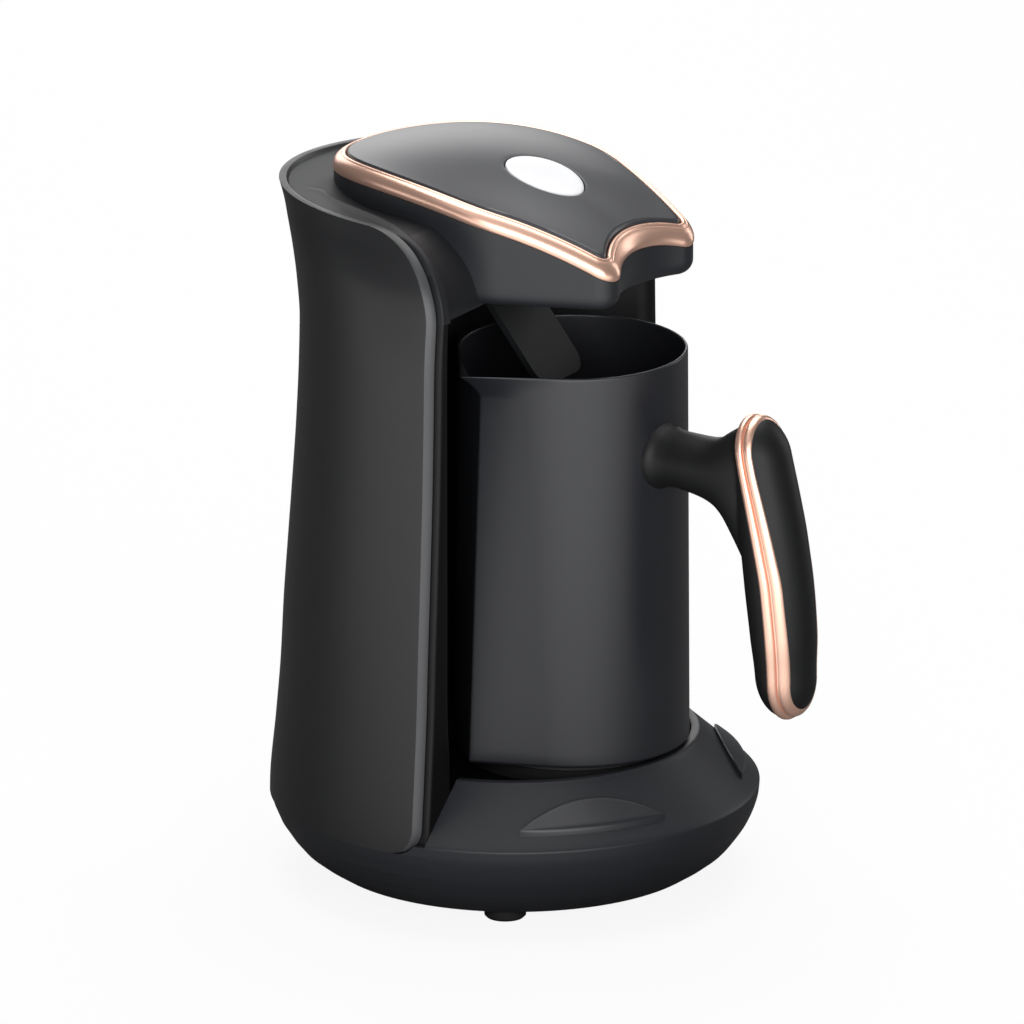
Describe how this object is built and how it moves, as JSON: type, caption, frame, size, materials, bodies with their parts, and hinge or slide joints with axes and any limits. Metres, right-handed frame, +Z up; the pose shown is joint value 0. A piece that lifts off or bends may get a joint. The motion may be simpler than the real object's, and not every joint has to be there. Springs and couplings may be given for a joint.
{
  "type": "electric turkish coffee maker",
  "caption": "Electric Turkish coffee maker: round base with a hot plate, tower with an overhanging head and power button, hinged foam probe, and a loose pot with a spout and trimmed handle.",
  "frame": {"origin": "on the table, under the middle of the bounding box; the base's own axis is 18.3 mm behind it", "axes": "+Z up, -Y to the front where the pot's handle points, +X to the right seen from behind the pot's handle looking at the tower"},
  "size_m": [0.1648, 0.2038, 0.2494],
  "materials": {
    "base_black": "satin moulded plastic",
    "shell_black": "satin moulded plastic",
    "head_black": "satin moulded plastic",
    "bay_black": "matt moulded plastic",
    "pad_black": "satin moulded plastic",
    "inner_plastic": "matt moulded plastic",
    "foot_rubber": "matt rubber",
    "gland_rubber": "matt rubber",
    "seal_rubber": "silicone rubber",
    "screw_steel": "zinc plated steel",
    "plate_metal": "dark coated cast aluminium",
    "element_steel": "drawn steel sheath",
    "ceramic_white": "glazed ceramic",
    "board_green": "lacquered circuit board",
    "relay_blue": "moulded plastic",
    "winding_yellow": "taped winding",
    "rose_gold": "satin rose gold plating",
    "lid_grey": "semi-gloss plastic",
    "button_silver": "silver white plastic",
    "light_white": "frosted lens",
    "probe_grey": "satin moulded plastic",
    "pot_coating": "satin non-stick coating",
    "disc_steel": "turned steel",
    "handle_black": "satin heat-proof plastic"
  },
  "bodies": {
    "machine": {"base_pan": "base_black", "base_front_cover": "base_black", "pad_left": "pad_black", "pad_right": "pad_black", "feet": "foot_rubber", "service_plate": "inner_plastic", "base_screws": "screw_steel", "cord_gland": "gland_rubber", "bay_floor": "bay_black", "hot_plate": "plate_metal", "plate_seal": "seal_rubber", "heating_element": "element_steel", "thermostat": "ceramic_white", "thermal_fuse": "ceramic_white", "outer_shell": "shell_black", "column": "bay_black", "board_carrier": "inner_plastic", "power_board": "board_green", "board_posts": "screw_steel", "relay": "relay_blue", "transformer": "winding_yellow", "capacitor": "inner_plastic", "head_housing": "head_black", "lid_ring": "rose_gold", "lid_frame": "inner_plastic", "lid_top_plate": "lid_grey", "button_switch": "inner_plastic", "control_board": "board_green", "indicator_light": "light_white", "buzzer": "inner_plastic", "probe_pin": "screw_steel"},
    "pot": {"pot_body": "pot_coating", "pot_base_disc": "disc_steel", "handle_core": "handle_black", "handle_ring": "rose_gold", "handle_insert": "handle_black", "handle_screw": "screw_steel"},
    "probe": {"probe_flap": "probe_grey", "probe_sensor": "screw_steel", "probe_spring": "screw_steel"},
    "button": {"power_button": "button_silver"}
  },
  "joints": [
    {"name": "pot_draw", "type": "slide", "parent": "machine", "child": "pot", "axis": [0, -1, 0], "range_m": [0, 0.1]},
    {"name": "probe_swing", "type": "hinge", "parent": "machine", "child": "probe", "pos_m": [0, 0.03028, 0.2132], "axis": [-1, 0, 0], "range_deg": [0, 52]},
    {"name": "power_button", "type": "slide", "parent": "machine", "child": "button", "axis": [0, 0.25, -0.9682], "range_m": [0, 0.0015], "stiffness_N_per_m": 400}
  ],
  "couplings": [
    {"joint": "probe_swing", "follows": "pot_draw", "rad_per_m": 9.05}
  ]
}
